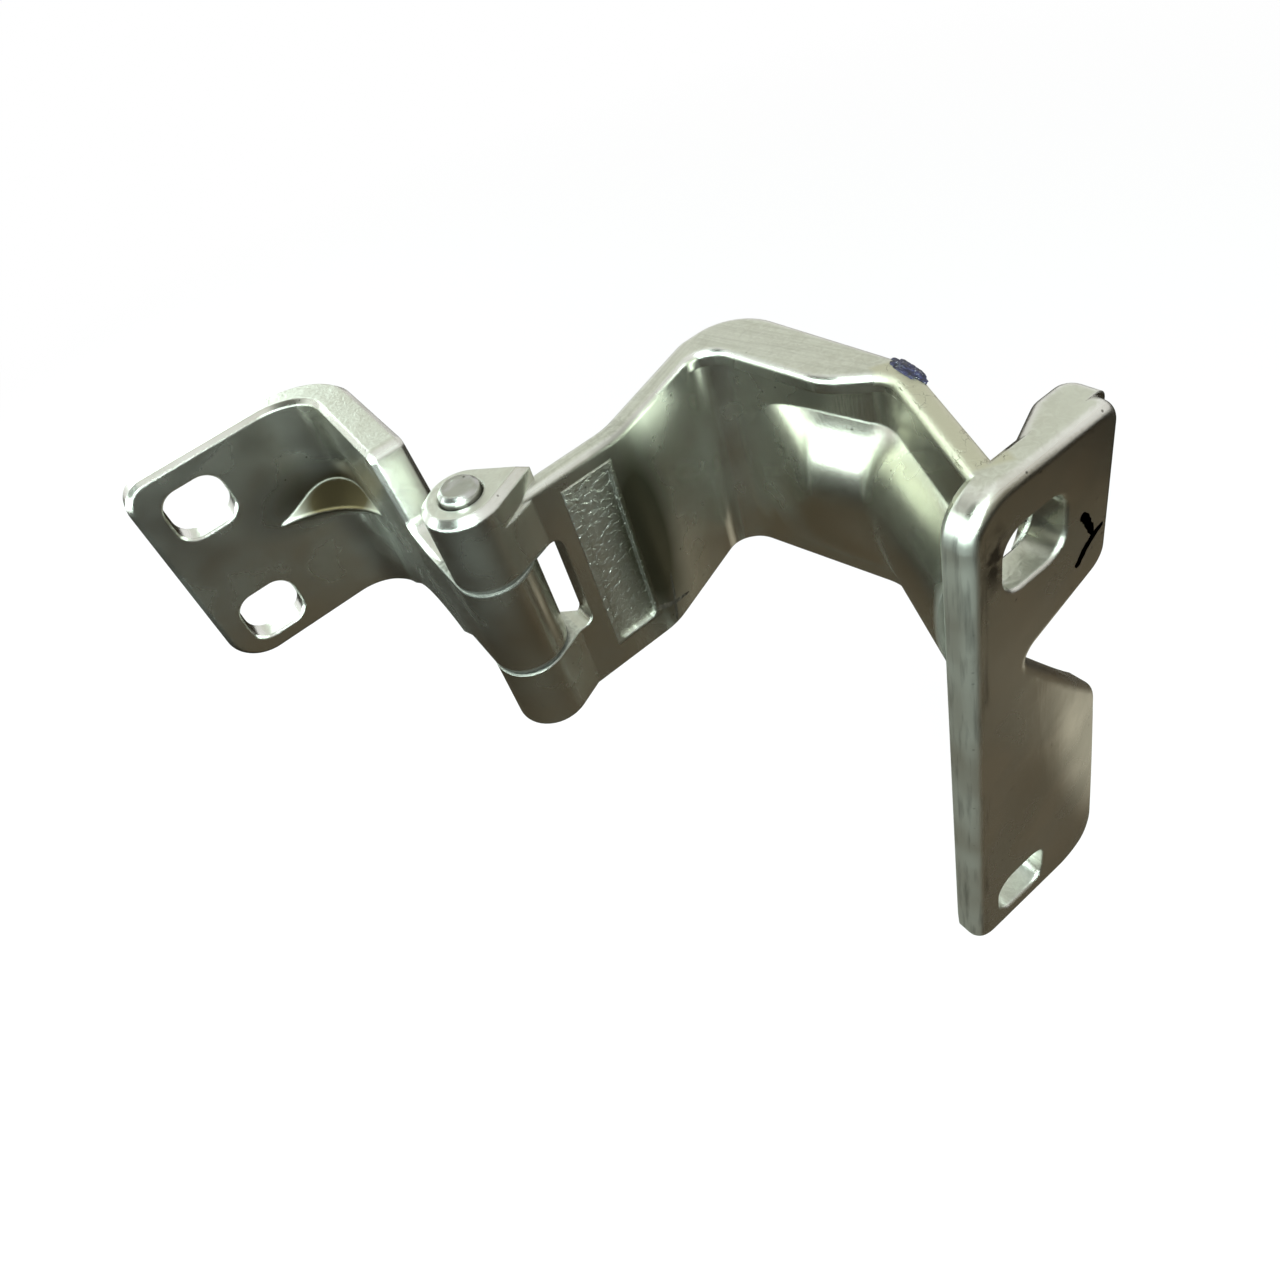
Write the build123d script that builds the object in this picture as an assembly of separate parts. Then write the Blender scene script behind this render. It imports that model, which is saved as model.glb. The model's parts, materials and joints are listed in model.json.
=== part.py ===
from build123d import *
import math
import os

# Car door hinge: a pillar leaf, a gooseneck door leaf and one pin.
# All sizes are in millimetres. Positions are first given from the pin axis at the
# middle of the centre knuckle, and the finished pieces are then moved so that the
# frame starts at the middle of the pillar pad's mounting face.

# Pin and knuckles
PIN_R = 4.0
PIN_RUN_CLEARANCE = 0.05
PIN_STAND_OUT = 1.9
PIN_FOOT_RECESS = 0.8
PIN_HEAD_CHAMFER = 0.8
PIN_FOOT_CHAMFER = 0.5
BORE_MOUTH_CHAMFER = 0.5
KNUCKLE_R = 8.1
MID_KNUCKLE_H = 23.0
UPPER_GAP = 0.5
LOWER_GAP = 0.9
UPPER_KNUCKLE_H = 17.7
LOWER_KNUCKLE_H = 17.9
KNUCKLE_RIM_CHAMFER = 1.4
UPPER_TAIL_X = 17.0
CROWN_TAIL_X = 13.2
LOWER_TAIL_X = 15.0

# Bolt slots, the same in both leaves
SLOT_LENGTH = 14.8
SLOT_WIDTH = 14.0
SLOT_CORNER_R = 4.8
SLOT_MOUTH_CHAMFER = 0.4

# Pillar leaf
PAD_T = 6.0
PAD_LEFT = -55.2
PAD_FRONT = 66.1
PAD_TOP = 32.0
PAD_BOTTOM = -28.7
PAD_TOP_CORNER_R = 6.5
PAD_LOW_CORNER_R = 10.0
PANEL_T = 8.0
BEND_INNER_R = 12.0
BEND_OUTER_R = 18.0
PAD_SLOT_X = -41.6
PAD_SLOT_PITCH = 35.7
PAD_SLOT_MID_Z = 1.05
END_CUT_TOP_Y = 23.8
END_CUT_FOOT_Y = 19.4
END_CUT_TOP_R = 2.5
END_CUT_FOOT_R = 4.0
TONGUE_TOP_Z = 14.0
TONGUE_CLEAR_Y = 9.0
SCOOP_SET_BACK = 2.0
SCOOP_Y = 30.6
SCOOP_Z = -15.4
SCOOP_RUN_Y = 43.0
SCOOP_RUN_Z = -19.5
NUB_Y = 18.9
NUB_Z = -18.0
NUB_R = 2.4
DART_SWEEP_R = 25.0
DART_DEPTH = 5.8
DART_HALF_H = 6.5
DART_CREST_R = 1.2
DART_DENT_R = 5.0
DART_DENT_DEPTH = 3.0
DART_Z = 2.6
PILLAR_EDGE_CHAMFER = 1.1

# Door leaf, arm
WEB_FRONT = -5.0
ARM_T = 4.6
ARM_TOP = 25.0
ARM_BOTTOM = -30.1
WEB_START = 3.0
WINDOW_X = 13.0
WINDOW_R = 2.2
BEND_1 = (31.2, -5.0)
BEND_2 = (61.06, 5.25)
BEND_3 = (69.9, -33.0)
ARM_END = (55.3, -60.6)
BEND_1_R = 14.0
BEND_2_R = 6.5
BEND_3_R = 9.0
ARM_FOOT_CHAMFER = 0.9
RIM_H = 3.6
RIM_EDGE_R = 1.6
RIM_SET_BACK = 1.6
RIM_FRONT_BEND = (62.7, -24.0)
RIM_BACK_CORNER = (72.7, 8.9)
RIM_BACK_START = 7.3
RIM_INNER_R = 5.5
RIM_FRONT_BEND_R = 12.0
RIM_FRONT_END_R = 4.0
RIM_BACK_CORNER_R = 11.0
RIM_BACK_START_R = 8.0
BEAD_DEPTH = 6.4
BEAD_TOP_Z = 13.5
BEAD_CREST_Z = -4.0
BEAD_FOOT_Z = -27.0
BEAD_START = 6.0
BEAD_FULL = 25.0
BEAD_SINK = 0.5
BEAD_FADE = -0.3
BEAD_TAPER_STEPS = 3
BEAD_BEND_R = 13.0
RECESS_LEFT = 18.4
RECESS_FOOT_LEFT = 17.2
RECESS_RIGHT = 27.0
RECESS_TOP = 20.0
RECESS_BOTTOM = -22.5
RECESS_DEPTH = 0.7
RECESS_CORNER_R = 1.6

# Door leaf, plate
PLATE_T = 6.0
PLATE_FRONT = -64.2
PLATE_LEFT = 49.3
PLATE_TOP = 25.0
PLATE_BOTTOM = -113.5
EAR_RIGHT = 83.8
EAR_FOOT_Z = -10.5
EAR_CORNER_R = 5.0
NOTCH = (62.5, -19.5)
WING_SHOULDER_Z = -61.0
WING_RIGHT = 93.0
PLATE_EDGE_R = 2.4
PLATE_BACK_CHAMFER = 1.3
PLATE_TOP_CORNER_R = 9.0
PLATE_LOW_CORNER_R = 6.0
EAR_FOOT_R = 6.0
NOTCH_R = 3.0
WING_SHOULDER_R = 9.0
WING_FOOT_R = 7.0
WING_BEND_START = (64.5, -19.5)
WING_BEND_FOOT_X = 78.0
WING_BEND_R = 55.0
WING_BEND_ANGLE = 36.0
PLATE_SLOT_X = 64.2
PLATE_SLOT_TOP_Z = 7.8
PLATE_SLOT_LOW_Z = -100.5
CURL_LEFT = 67.0
CURL_RAMP = 9.0
CURL_BACK = -54.8
CURL_ROUND = 3.2
CURL_BACK_EDGES = 4

# How far cutting shapes run past what they cut, and how square a wall counts as square
CUT_PAST = 3.0
SQUARE = 0.02

MID_TOP = MID_KNUCKLE_H / 2
MID_LOW = -MID_KNUCKLE_H / 2
UPPER_LOW = MID_TOP + UPPER_GAP
UPPER_TOP = UPPER_LOW + UPPER_KNUCKLE_H
LOWER_TOP = MID_LOW - LOWER_GAP
LOWER_LOW = LOWER_TOP - LOWER_KNUCKLE_H
RUN_BORE_R = PIN_R + PIN_RUN_CLEARANCE
PAD_BACK = PAD_FRONT + PAD_T
PANEL_IN = -KNUCKLE_R
PANEL_OUT = PANEL_IN + PANEL_T
PLATE_BACK = PLATE_FRONT + PLATE_T
FORK_REACH = 2.5 * KNUCKLE_R
FRAME_SHIFT = (-PAD_SLOT_X, -PAD_BACK, -PAD_SLOT_MID_Z)


def plan_face(points):
    """A flat face in the XY plane through these corners."""
    return make_face(Polyline(*points, close=True))


def round_corners(face, corner_radii):
    """A flat face with its listed corners rounded."""
    for (x, y), radius in corner_radii:
        corner = face.vertices().sort_by_distance((x, y, 0))[0]
        face = fillet(corner, radius)
    return face


def up(face, low, high):
    """A plan face raised between two heights."""
    return Pos(0, 0, low) * extrude(face, high - low)


def front_prism(points, corner_radii, near_y, far_y):
    """A prism along Y from an outline given as X and Z, with its listed corners rounded."""
    face = round_corners(plan_face(points), corner_radii)
    plane = Plane(origin=(0, far_y, 0), x_dir=(1, 0, 0), z_dir=(0, -1, 0))
    return plane * extrude(face, far_y - near_y)


def slot_cutter(x, z, front_y, thickness):
    """A rounded bolt slot through a plate, with a small chamfer at both mouths."""
    half = thickness / 2
    outline = RectangleRounded(SLOT_LENGTH, SLOT_WIDTH, SLOT_CORNER_R)
    mouth = RectangleRounded(
        SLOT_LENGTH + 2 * SLOT_MOUTH_CHAMFER,
        SLOT_WIDTH + 2 * SLOT_MOUTH_CHAMFER,
        SLOT_CORNER_R + SLOT_MOUTH_CHAMFER,
    )
    cutter = extrude(outline, half + CUT_PAST, both=True)
    for side in (-1, 1):
        throat = Pos(0, 0, side * (half - SLOT_MOUTH_CHAMFER)) * outline
        cutter += loft([throat, Pos(0, 0, side * half) * mouth], ruled=True)
    return Pos(x, front_y + half, z) * Rot(90, 0, 0) * cutter


def toward(start, end, distance):
    """The plan point this far from one point on the way to another."""
    share = distance / math.dist(start, end)
    return (start[0] + share * (end[0] - start[0]), start[1] + share * (end[1] - start[1]))


def offset_corner(path, distance):
    """The corners of a plan path moved sideways to its left by this distance."""
    moved = []
    for i, point in enumerate(path):
        before = path[max(i - 1, 0)]
        after = path[min(i + 1, len(path) - 1)]
        headings = []
        if i > 0:
            headings.append(math.atan2(point[1] - before[1], point[0] - before[0]))
        if i < len(path) - 1:
            headings.append(math.atan2(after[1] - point[1], after[0] - point[0]))
        heading = sum(headings) / len(headings)
        half_turn = (headings[-1] - headings[0]) / 2
        reach = distance / math.cos(half_turn)
        moved.append((point[0] - reach * math.sin(heading), point[1] + reach * math.cos(heading)))
    return moved


def arm_path():
    """The plan corners of the arm's front face, from the knuckle to the plate."""
    return [(WEB_START, WEB_FRONT), BEND_1, BEND_2, BEND_3, ARM_END]


def arm_wall():
    """The arm's bent wall below its top band, with its lower edges eased."""
    front = arm_path()
    back = offset_corner(front, ARM_T)
    radii = [(front[1], BEND_1_R + ARM_T), (back[1], BEND_1_R)]
    radii += [(front[2], BEND_2_R), (back[2], BEND_2_R + ARM_T)]
    radii += [(front[3], BEND_3_R), (back[3], BEND_3_R + ARM_T)]
    face = round_corners(plan_face(front + back[::-1]), radii)
    wall = up(face, ARM_BOTTOM, ARM_TOP - RIM_H)
    return chamfer(wall.faces().sort_by(Axis.Z)[0].edges(), ARM_FOOT_CHAMFER)


def arm_crown():
    """The arm's top band, which widens to a rolled rim along the back wall."""
    front = arm_path()
    back = offset_corner(front, ARM_T)
    rim_front = toward(front[2], front[1], RIM_SET_BACK)
    rim_back = toward(back[2], back[1], RIM_BACK_START)
    inner = [front[0], front[1], rim_front, RIM_FRONT_BEND, front[3], front[4]]
    outer = [back[0], back[1], rim_back, RIM_BACK_CORNER, back[3], back[4]]
    radii = [(inner[1], BEND_1_R + ARM_T), (outer[1], BEND_1_R)]
    radii += [(inner[2], RIM_INNER_R), (outer[2], RIM_BACK_START_R)]
    radii += [(inner[3], RIM_FRONT_BEND_R), (outer[3], RIM_BACK_CORNER_R)]
    radii += [(inner[4], RIM_FRONT_END_R), (outer[4], BEND_3_R + ARM_T)]
    band = up(round_corners(plan_face(inner + outer[::-1]), radii), ARM_TOP - RIM_H, ARM_TOP)
    return fillet(band.faces().sort_by(Axis.Z)[-1].edges(), RIM_EDGE_R)


def bead_section(point, heading, depth):
    """The bead at one place on a wall: a steep upper flank and a long lower one, to the heading's right."""
    plane = Plane(
        origin=(point[0], point[1], 0),
        x_dir=(math.sin(heading), -math.cos(heading), 0),
        z_dir=(-math.cos(heading), -math.sin(heading), 0),
    )
    foot = (-BEAD_SINK, BEAD_FOOT_Z)
    crest = (depth, BEAD_CREST_Z)
    top = (-BEAD_SINK, BEAD_TOP_Z)
    lower_flank = TangentArc(crest, foot, tangent=(0, -1))
    upper_flank = TangentArc(crest, top, tangent=(0, 1))
    return plane * make_face([lower_flank, Line(foot, top), upper_flank])


def bead(path):
    """The long pressed bead along the back wall and the end wall."""
    start, corner, end = path
    first = math.atan2(corner[1] - start[1], corner[0] - start[0])
    sections = []
    for step in range(BEAD_TAPER_STEPS + 1):
        share = step / BEAD_TAPER_STEPS
        rise = (1 - math.cos(math.pi * share)) / 2
        place = toward(start, corner, BEAD_START + share * (BEAD_FULL - BEAD_START))
        sections.append(bead_section(place, first, BEAD_FADE + rise * (BEAD_DEPTH - BEAD_FADE)))
    run = FilletPolyline(toward(start, corner, BEAD_FULL), corner, end, radius=BEAD_BEND_R)
    return loft(sections) + sweep(sections[-1], path=run)


def teardrop(tip):
    """The plan shape of a fork knuckle with its tail drawn out to the web."""
    reach = math.hypot(*tip)
    spread = math.acos(KNUCKLE_R / reach)
    tail = []
    for side in (-1, 1):
        angle = math.atan2(tip[1], tip[0]) + side * spread
        tail.append((KNUCKLE_R * math.cos(angle), KNUCKLE_R * math.sin(angle)))
    return Circle(KNUCKLE_R) + plan_face([tail[0], tip, tail[1]])


def fork_knuckles():
    """The two outer knuckles with their tails, before they are bored."""
    web_mid = WEB_FRONT + ARM_T / 2
    shoulder = ARM_TOP - RIM_EDGE_R
    upper = up(teardrop((UPPER_TAIL_X, web_mid)), UPPER_LOW, shoulder)
    crown = up(teardrop((CROWN_TAIL_X, web_mid)), shoulder - RIM_EDGE_R, UPPER_TOP)
    crown = chamfer(crown.faces().sort_by(Axis.Z)[-1].edges(), KNUCKLE_RIM_CHAMFER)
    lower = up(teardrop((LOWER_TAIL_X, web_mid)), LOWER_LOW, LOWER_TOP)
    lower = chamfer(lower.faces().sort_by(Axis.Z)[0].edges(), KNUCKLE_RIM_CHAMFER)
    return upper + crown + lower


def plate_outline(near_y, far_y):
    """The door plate's outline, an upper ear and a lower wing with a notch between, as a prism along Y."""
    corners = {
        (PLATE_LEFT, PLATE_TOP): PLATE_TOP_CORNER_R,
        (EAR_RIGHT, PLATE_TOP): EAR_CORNER_R,
        (EAR_RIGHT, EAR_FOOT_Z): EAR_FOOT_R,
        NOTCH: NOTCH_R,
        (WING_RIGHT, WING_SHOULDER_Z): WING_SHOULDER_R,
        (WING_RIGHT, PLATE_BOTTOM): WING_FOOT_R,
        (PLATE_LEFT, PLATE_BOTTOM): PLATE_LOW_CORNER_R,
    }
    return front_prism(list(corners), corners.items(), near_y, far_y)


def wing_sheet():
    """A sheet that is flat left of the wing's bend line and curves back to its right."""
    foot_z = PLATE_BOTTOM - CUT_PAST
    foot = (WING_BEND_FOOT_X, foot_z)
    length = math.dist(WING_BEND_START, foot)
    along = ((foot[0] - WING_BEND_START[0]) / length, (foot[1] - WING_BEND_START[1]) / length)
    section = Plane(
        origin=(WING_BEND_START[0], PLATE_FRONT, WING_BEND_START[1]),
        x_dir=(-along[1], 0, along[0]),
        z_dir=(along[0], 0, along[1]),
    )
    turn = math.radians(WING_BEND_ANGLE)
    back_side = 1 if section.y_dir.Y > 0 else -1
    inner_r = WING_BEND_R - PLATE_T

    def on_arc(radius, angle):
        return (radius * math.sin(angle), back_side * (WING_BEND_R - radius * math.cos(angle)))

    front = ThreePointArc(on_arc(WING_BEND_R, 0), on_arc(WING_BEND_R, turn / 2), on_arc(WING_BEND_R, turn))
    back = ThreePointArc(on_arc(inner_r, 0), on_arc(inner_r, turn / 2), on_arc(inner_r, turn))
    end = Line(on_arc(WING_BEND_R, turn), on_arc(inner_r, turn))
    root = Line(on_arc(WING_BEND_R, 0), on_arc(inner_r, 0))
    return section * extrude(make_face([front, end, back, root]), length)


def plate():
    """The door plate, flat on its left and bent back along the wing's upper right edge."""
    far_y = PLATE_BACK + WING_BEND_R
    region = [
        WING_BEND_START,
        (WING_RIGHT + CUT_PAST, WING_BEND_START[1]),
        (WING_RIGHT + CUT_PAST, PLATE_BOTTOM - CUT_PAST),
        (WING_BEND_FOOT_X, PLATE_BOTTOM - CUT_PAST),
    ]
    flat = plate_outline(PLATE_FRONT, PLATE_BACK) - front_prism(region, [], PLATE_FRONT - CUT_PAST, far_y)
    whole = flat + (wing_sheet() & plate_outline(PLATE_FRONT - CUT_PAST, far_y))
    whole = chamfer(rim_edges(whole, 1), PLATE_BACK_CHAMFER)
    return fillet(rim_edges(whole, -1), PLATE_EDGE_R)


def rim_edges(sheet, side):
    """The edges round a plate's front, side -1, or its back, side 1."""
    edges = ShapeList()
    for wall in sheet.faces():
        if abs(wall.normal_at().Y) < SQUARE:
            middle_y = wall.center().Y
            edges += [edge for edge in wall.edges() if side * (edge.center().Y - middle_y) > PLATE_T / 4]
    return edges


def ear_curl():
    """The thickened right end of the ear, which curls back behind the plate."""
    root_y = PLATE_FRONT + PLATE_T / 2
    outline = [
        (CURL_LEFT, root_y),
        (CURL_LEFT, PLATE_BACK),
        (CURL_LEFT + CURL_RAMP, CURL_BACK),
        (EAR_RIGHT, CURL_BACK),
        (EAR_RIGHT, root_y),
    ]
    face = round_corners(plan_face(outline), [(outline[2], CURL_RAMP / 2), (outline[3], CURL_ROUND)])
    curl = up(face, EAR_FOOT_Z + CURL_RAMP / 2, PLATE_TOP)
    top = curl.faces().sort_by(Axis.Z)[-1].edges()
    return fillet(top.sort_by(Axis.Y)[-CURL_BACK_EDGES:], PLATE_EDGE_R)


def door_leaf():
    """The gooseneck leaf that carries the door."""
    front = arm_path()
    back = offset_corner(front, ARM_T)
    leaf = arm_wall() + arm_crown()
    leaf += bead(front[2:])
    leaf -= bead(back[2:])
    size = PLATE_TOP - PLATE_BOTTOM
    leaf -= Pos(PLATE_LEFT, PLATE_FRONT - size / 2, 0) * Box(size, size, size)
    leaf += plate() + ear_curl()
    leaf += fork_knuckles()
    fork_gap = [
        (-FORK_REACH, UPPER_LOW),
        (WINDOW_X, UPPER_LOW),
        (WINDOW_X, LOWER_TOP),
        (-FORK_REACH, LOWER_TOP),
    ]
    rounds = [(fork_gap[1], WINDOW_R), (fork_gap[2], WINDOW_R)]
    leaf -= front_prism(fork_gap, rounds, -FORK_REACH, FORK_REACH)
    leaf -= up(Circle(RUN_BORE_R), LOWER_LOW - CUT_PAST, UPPER_TOP + CUT_PAST)
    mouth_r = RUN_BORE_R + BORE_MOUTH_CHAMFER
    leaf -= Pos(0, 0, UPPER_TOP - BORE_MOUTH_CHAMFER / 2) * Cone(RUN_BORE_R, mouth_r, BORE_MOUTH_CHAMFER)
    recess = [
        (RECESS_LEFT, RECESS_TOP),
        (RECESS_RIGHT, RECESS_TOP),
        (RECESS_RIGHT, RECESS_BOTTOM),
        (RECESS_FOOT_LEFT, RECESS_BOTTOM),
    ]
    rounds = [(corner, RECESS_CORNER_R) for corner in recess]
    leaf -= front_prism(recess, rounds, WEB_FRONT - CUT_PAST, WEB_FRONT + RECESS_DEPTH)
    for z in (PLATE_SLOT_TOP_Z, PLATE_SLOT_LOW_Z):
        leaf -= slot_cutter(PLATE_SLOT_X, z, PLATE_FRONT, PLATE_T)
    return leaf


def pillar_plan():
    """The plan of the bent pillar leaf, from the pad's free end to the knuckle."""
    points = [
        (PAD_LEFT, PAD_FRONT),
        (PANEL_IN, PAD_FRONT),
        (PANEL_IN, 0),
        (PANEL_OUT, 0),
        (PANEL_OUT, PAD_BACK),
        (PAD_LEFT, PAD_BACK),
    ]
    return round_corners(plan_face(points), [(points[1], BEND_INNER_R), (points[4], BEND_OUTER_R)])


def panel_side():
    """The side face of the pillar leaf in Y and Z, with its scooped lower edge."""
    scoop_start = (PAD_FRONT - SCOOP_SET_BACK, PAD_BOTTOM)
    far_y = PAD_BACK + CUT_PAST
    scoop = Spline(
        scoop_start,
        (SCOOP_RUN_Y, SCOOP_RUN_Z),
        (SCOOP_Y, SCOOP_Z),
        (NUB_Y, NUB_Z),
        tangents=((-1, 0), (-1, -0.7)),
    )
    rest = Polyline(
        (NUB_Y, NUB_Z),
        (TONGUE_CLEAR_Y, MID_LOW),
        (-CUT_PAST, MID_LOW),
        (-CUT_PAST, MID_TOP),
        (TONGUE_CLEAR_Y, MID_TOP),
        (END_CUT_FOOT_Y, TONGUE_TOP_Z),
        (END_CUT_TOP_Y, PAD_TOP),
        (far_y, PAD_TOP),
        (far_y, PAD_BOTTOM),
        scoop_start,
    )
    rounds = [
        ((END_CUT_TOP_Y, PAD_TOP), END_CUT_TOP_R),
        ((END_CUT_FOOT_Y, TONGUE_TOP_Z), END_CUT_FOOT_R),
        ((NUB_Y, NUB_Z), NUB_R),
    ]
    return round_corners(make_face([scoop, rest]), rounds)


def pillar_blank():
    """The bent pillar leaf before its dart, knuckle and slots, with its cut edges eased."""
    blank = up(pillar_plan(), PAD_BOTTOM - CUT_PAST, PAD_TOP + CUT_PAST)
    across = Plane(origin=(PAD_LEFT - CUT_PAST, 0, 0), x_dir=(0, 1, 0), z_dir=(1, 0, 0))
    blank &= across * extrude(panel_side(), PANEL_OUT - PAD_LEFT + 2 * CUT_PAST)
    right = PANEL_OUT + BEND_OUTER_R
    pad = [(PAD_LEFT, PAD_TOP), (right, PAD_TOP), (right, PAD_BOTTOM), (PAD_LEFT, PAD_BOTTOM)]
    rounds = [(pad[0], PAD_TOP_CORNER_R), (pad[3], PAD_LOW_CORNER_R)]
    blank &= front_prism(pad, rounds, -CUT_PAST, PAD_BACK + CUT_PAST)
    pad_faces = blank.faces().filter_by(Axis.Y).filter_by(lambda face: face.center().Y > END_CUT_TOP_Y)
    edges = pad_faces.edges().filter_by(lambda edge: edge.center().X < PANEL_IN - BEND_OUTER_R)
    return chamfer(edges, PILLAR_EDGE_CHAMFER)


def pillar_leaf():
    """The bent leaf that bolts to the pillar and carries the centre knuckle."""
    body = pillar_blank()
    body += dart()
    body -= dart_dent()
    body += up(Circle(KNUCKLE_R), MID_LOW, MID_TOP)
    body -= up(Circle(PIN_R), MID_LOW - CUT_PAST, MID_TOP + CUT_PAST)
    for side_step in (-1, 1):
        z = PAD_SLOT_MID_Z + side_step * PAD_SLOT_PITCH / 2
        body -= slot_cutter(PAD_SLOT_X, z, PAD_FRONT, PAD_T)
    return body


def dart():
    """The stiffening dart in the inside of the bend: a curved roof whose crest meets both walls."""
    crest = (DART_SWEEP_R, 0)
    base = DART_SWEEP_R + DART_DEPTH
    roof = plan_face([crest, (base, -DART_HALF_H), (base, DART_HALF_H)])
    roof = round_corners(roof, [(crest, DART_CREST_R)])
    ring = revolve(Plane.XZ * roof, Axis.Z, revolution_arc=90)
    return Pos(PANEL_IN - DART_SWEEP_R, PAD_FRONT - DART_SWEEP_R, DART_Z) * ring


def dart_dent():
    """The straight dent that the dart leaves in the outside of the bend."""
    bend_inset = BEND_OUTER_R * (1 - math.sqrt(0.5))
    axis_out = (DART_DENT_R - DART_DENT_DEPTH) * math.sqrt(0.5)
    step = axis_out - bend_inset
    groove = Rot(0, 0, -45) * Rot(0, 90, 0) * Cylinder(DART_DENT_R, 2 * DART_SWEEP_R)
    return Pos(PANEL_OUT + step, PAD_BACK + step, DART_Z) * groove


def hinge_pin():
    """The plain pin, fixed in the centre knuckle and standing out at the top."""
    pin = up(Circle(PIN_R), LOWER_LOW + PIN_FOOT_RECESS, UPPER_TOP + PIN_STAND_OUT)
    pin = chamfer(pin.faces().sort_by(Axis.Z)[-1].edges(), PIN_HEAD_CHAMFER)
    return chamfer(pin.faces().sort_by(Axis.Z)[0].edges(), PIN_FOOT_CHAMFER)


os.makedirs("parts", exist_ok=True)
pieces = {"pillar_leaf": pillar_leaf(), "door_leaf": door_leaf(), "hinge_pin": hinge_pin()}
for name, piece in pieces.items():
    export_step(Pos(*FRAME_SHIFT) * piece, f"parts/{name}.step")
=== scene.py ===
"""Looks of a zinc plated car door hinge: its finishes, its shop marks and a plain studio."""
import json
import math

import bmesh
import bpy
from bpy.props import FloatProperty, FloatVectorProperty, PointerProperty
from mathutils import Euler, Matrix, Vector, noise
from mathutils.bvhtree import BVHTree


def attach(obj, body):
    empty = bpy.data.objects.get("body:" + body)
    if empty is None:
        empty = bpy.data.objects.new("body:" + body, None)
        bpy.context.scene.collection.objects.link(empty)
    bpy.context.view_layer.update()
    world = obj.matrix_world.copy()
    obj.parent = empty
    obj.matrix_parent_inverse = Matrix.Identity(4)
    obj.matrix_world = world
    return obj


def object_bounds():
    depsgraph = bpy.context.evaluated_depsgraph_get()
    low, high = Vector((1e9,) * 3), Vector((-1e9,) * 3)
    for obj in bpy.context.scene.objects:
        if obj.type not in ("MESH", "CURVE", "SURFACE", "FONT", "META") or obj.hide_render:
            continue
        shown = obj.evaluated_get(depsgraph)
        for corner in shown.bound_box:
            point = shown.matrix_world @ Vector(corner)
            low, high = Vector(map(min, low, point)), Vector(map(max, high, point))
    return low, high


bl_info = {
    "name": "Car door hinge",
    "version": (1, 0, 0),
    "blender": (4, 5, 0),
    "location": "View3D > Sidebar > Hinge",
    "description": "Dresses a gooseneck car door hinge and sets it in a plain studio",
    "category": "Object",
}

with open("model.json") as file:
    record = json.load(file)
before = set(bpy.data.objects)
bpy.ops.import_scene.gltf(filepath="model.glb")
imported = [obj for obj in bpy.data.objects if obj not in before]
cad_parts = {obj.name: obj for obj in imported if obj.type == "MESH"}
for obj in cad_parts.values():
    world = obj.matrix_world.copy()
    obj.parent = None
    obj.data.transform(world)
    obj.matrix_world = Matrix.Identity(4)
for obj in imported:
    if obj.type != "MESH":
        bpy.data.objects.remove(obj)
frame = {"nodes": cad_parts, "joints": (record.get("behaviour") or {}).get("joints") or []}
CAD_LOW, CAD_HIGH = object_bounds()

# Lengths below are in millimetres, and this turns them into scene units.
MM = 0.001

# Places below are measured from the pin axis, at the middle of the centre knuckle.
PIN = Vector(frame["joints"][0]["pos_m"])

# The arm's front face in plan, from the knuckle to the plate, its thickness and its top.
ARM_CORNERS = ((3.0, -5.0), (31.2, -5.0), (61.1, 5.3), (69.9, -33.0), (55.3, -60.6))
ARM_THICKNESS = 4.6
ARM_TOP = 25.0

# The rim's outer edge in plan, and the rim's reach to the right and left of the arm's front face.
RIM_OUTER_EDGE = ((72.7, 8.9), (74.8, -33.6))
RIM_SIDES = (2.0, 13.0)

# The pillar leaf's top edge in plan, and its reach to the right and left of that line.
PILLAR_EDGE = ((-75.0, 69.0), (-5.0, 69.0), (-5.0, 20.0))
PILLAR_SIDES = (5.0, 5.0)

# The sunk panel in the web.
RECESS_LOW = (16.6, -5.4, -23.0)
RECESS_HIGH = (27.6, -3.4, 20.6)

# The plate's front, its left edge, and the smudge and the nicks beside that edge.
PLATE_FRONT = -64.2
PLATE_EDGE_LOW = (48.0, -66.0, -116.0)
PLATE_EDGE_HIGH = (50.6, -57.0, 26.0)
SMUDGE_MIDDLE = (54.6, PLATE_FRONT, 11.4)
SMUDGE_REACH = (3.6, 5.0, 9.0)
NICKS_LOW = (48.6, -66.0, -108.0)
NICKS_HIGH = (53.0, -60.0, 20.0)

# Darker patches on the dart and on the web's bend, and the two seams between the knuckles, which get a
# painted shade.
DART_MIDDLE = (-18.0, 56.0, 7.0)
DART_REACH = (24.0, 20.0, 13.0)
WEB_PATCH_MIDDLE = (31.0, -5.0, -2.0)
WEB_PATCH_REACH = (11.0, 8.0, 36.0)
SEAM_REACH = 9.0
SEAM_HEIGHTS = (11.7, -11.7)


def linear(hex_colour):
    """A linear colour with full alpha from an sRGB hex value."""
    parts = [int(hex_colour[i:i + 2], 16) / 255 for i in (1, 3, 5)]
    return [c / 12.92 if c <= 0.04045 else ((c + 0.055) / 1.055) ** 2.4 for c in parts] + [1.0]


# Numbered inputs: Map Range takes its value as 0, the limits it comes from as 1 and 2 and those it goes to
# as 3 and 4. Mix takes its share as 0, and two numbers as 2 and 3 or two colours as 6 and 7.
def add(tree, kind, links=(), **settings):
    """A node of this kind with its settings; links maps an input's name or number to a value or a socket."""
    node = tree.nodes.new(kind)
    for name, value in settings.items():
        setattr(node, name, value)
    for key, value in dict(links).items():
        if isinstance(value, bpy.types.NodeSocket):
            tree.links.new(value, node.inputs[key])
        else:
            node.inputs[key].default_value = value
    return node


def new_material(name):
    """An empty node material and its tree."""
    material = bpy.data.materials.new(name)
    material.use_nodes = True
    material.node_tree.nodes.clear()
    return material, material.node_tree


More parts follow.
